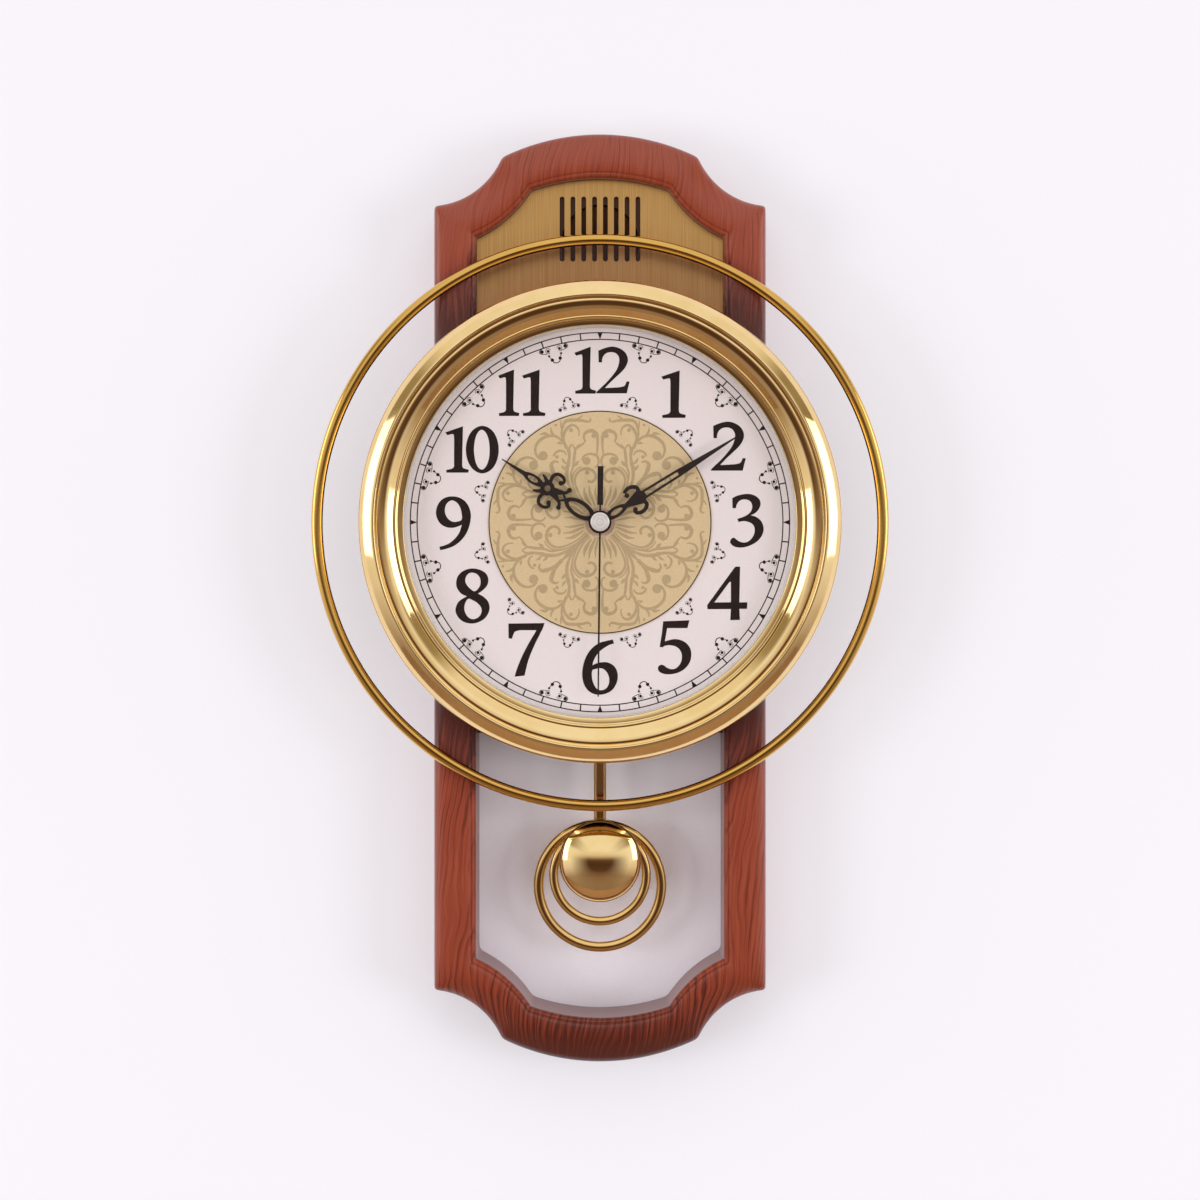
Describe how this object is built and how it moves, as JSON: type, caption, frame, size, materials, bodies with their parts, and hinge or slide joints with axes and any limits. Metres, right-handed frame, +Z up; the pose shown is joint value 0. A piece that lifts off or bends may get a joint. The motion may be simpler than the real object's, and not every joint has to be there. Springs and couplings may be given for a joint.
{
  "type": "pendulum wall clock",
  "caption": "Wall clock with a scalloped wooden case, a round gold-framed dial on a clear disc, a slotted chime grille and a swinging pendulum with a ringed bob.",
  "frame": {"origin": "top of the keyhole slot in the hanger plate, on the plane of the wall, where the wall screw carries the clock", "axes": "+Z up the wall, +Y into the wall, +X to the right of a viewer who faces the dial"},
  "size_m": [0.3334, 0.083, 0.54],
  "materials": {
    "grained_wood": "red-brown grained veneer under clear gloss lacquer",
    "pale_board": "pale painted hardboard",
    "brown_board": "bare hardboard",
    "brushed_gold": "gold anodised, brushed upright",
    "polished_gold": "gold plated and polished",
    "clear_glass": "clear, polished",
    "dial_silver": "pale satin silver with printed marks",
    "medallion_tan": "satin gold with printed scrolls",
    "hand_black": "dark brown-black satin paint",
    "spun_steel": "spun",
    "zinc_steel": "zinc plated",
    "black_plastic": "fine matt texture",
    "white_plastic": "natural moulded",
    "brass": "bright",
    "copper_wire": "enamelled winding",
    "ferrite": "dull sintered",
    "cone_paper": "pressed paper",
    "green_board": "lacquered circuit board",
    "cell_sleeve": "plain printed sleeve"
  },
  "bodies": {
    "clock_body": {"case_frame": "grained_wood", "back_panel": "pale_board", "hanger_plate": "zinc_steel", "hanger_screw_1": "zinc_steel", "hanger_screw_2": "zinc_steel", "back_screw_1": "zinc_steel", "back_screw_2": "zinc_steel", "back_screw_3": "zinc_steel", "back_screw_4": "zinc_steel", "baffle_screw_1": "zinc_steel", "baffle_screw_2": "zinc_steel", "baffle_screw_3": "zinc_steel", "baffle_screw_4": "zinc_steel", "baffle_plate": "brown_board", "grille_plate": "brushed_gold", "speaker_frame": "zinc_steel", "speaker_cone": "cone_paper", "speaker_magnet": "ferrite", "halo_glass": "clear_glass", "halo_ring": "polished_gold", "dial_pan": "black_plastic", "pan_screw_1": "zinc_steel", "pan_screw_2": "zinc_steel", "pan_screw_3": "zinc_steel", "bezel": "polished_gold", "glass_spacer_ring": "white_plastic", "dial_glass": "clear_glass", "dial_plate": "dial_silver", "dial_medallion": "medallion_tan", "movement_front_case": "black_plastic", "movement_rear_cover": "black_plastic", "train_bridge": "white_plastic", "mounting_nut": "brass", "stator": "zinc_steel", "drive_coil": "copper_wire", "circuit_board": "green_board", "battery": "cell_sleeve", "battery_contact_positive": "brass", "battery_contact_negative": "brass", "pendulum_coil": "copper_wire", "pendulum_pivot": "zinc_steel"},
    "second_train": {"second_wheel": "white_plastic", "second_hand": "hand_black", "hand_cap": "spun_steel"},
    "minute_train": {"centre_wheel": "brass", "minute_hand": "hand_black"},
    "hour_train": {"hour_wheel": "white_plastic", "hour_hand": "hand_black"},
    "rotor_arbor": {"rotor": "ferrite"},
    "fifth_arbor": {"fifth_wheel": "white_plastic"},
    "third_arbor": {"third_wheel": "white_plastic"},
    "motion_arbor": {"motion_wheel": "white_plastic"},
    "setting_arbor": {"setting_knob": "black_plastic"},
    "pendulum": {"pendulum_hanger": "black_plastic", "pendulum_magnet": "ferrite", "pendulum_rod": "brass", "bob_outer_ring": "polished_gold", "bob_middle_ring": "polished_gold", "bob_dome": "polished_gold"},
    "chime_slide": {"chime_switch": "white_plastic"}
  },
  "joints": [
    {"name": "second_turn", "type": "hinge", "parent": "clock_body", "child": "second_train", "pos_m": [0, -0.05, -0.1785], "axis": [0, 1, 0], "continuous": true},
    {"name": "minute_turn", "type": "hinge", "parent": "clock_body", "child": "minute_train", "pos_m": [0, -0.05, -0.1785], "axis": [0, 1, 0], "continuous": true},
    {"name": "hour_turn", "type": "hinge", "parent": "clock_body", "child": "hour_train", "pos_m": [0, -0.05, -0.1785], "axis": [0, 1, 0], "continuous": true},
    {"name": "rotor_turn", "type": "hinge", "parent": "clock_body", "child": "rotor_arbor", "pos_m": [0.02011, -0.04, -0.17569], "axis": [0, 1, 0], "continuous": true},
    {"name": "fifth_turn", "type": "hinge", "parent": "clock_body", "child": "fifth_arbor", "pos_m": [0.01269, -0.04, -0.18312], "axis": [0, 1, 0], "continuous": true},
    {"name": "third_turn", "type": "hinge", "parent": "clock_body", "child": "third_arbor", "pos_m": [-0.00919, -0.045, -0.18769], "axis": [0, 1, 0], "continuous": true},
    {"name": "motion_turn", "type": "hinge", "parent": "clock_body", "child": "motion_arbor", "pos_m": [-0.006, -0.05, -0.16811], "axis": [0, 1, 0], "continuous": true},
    {"name": "setting_turn", "type": "hinge", "parent": "clock_body", "child": "setting_arbor", "pos_m": [-0.018, -0.04, -0.16811], "axis": [0, 1, 0], "continuous": true},
    {"name": "pendulum_swing", "type": "hinge", "parent": "clock_body", "child": "pendulum", "pos_m": [0, -0.028, -0.14852], "axis": [0, 1, 0], "range_deg": [-6.5, 6.5]},
    {"name": "chime_switch_slide", "type": "slide", "parent": "clock_body", "child": "chime_slide", "axis": [1, 0, 0], "range_m": [0, 0.005]}
  ],
  "couplings": [
    {"joint": "minute_turn", "follows": "second_turn", "ratio": 0.016667},
    {"joint": "hour_turn", "follows": "second_turn", "ratio": 0.0013889},
    {"joint": "rotor_turn", "follows": "second_turn", "ratio": 30},
    {"joint": "fifth_turn", "follows": "second_turn", "ratio": -5},
    {"joint": "third_turn", "follows": "second_turn", "ratio": -0.13333},
    {"joint": "motion_turn", "follows": "second_turn", "ratio": -0.0055556},
    {"joint": "setting_turn", "follows": "second_turn", "ratio": 0.016667}
  ]
}
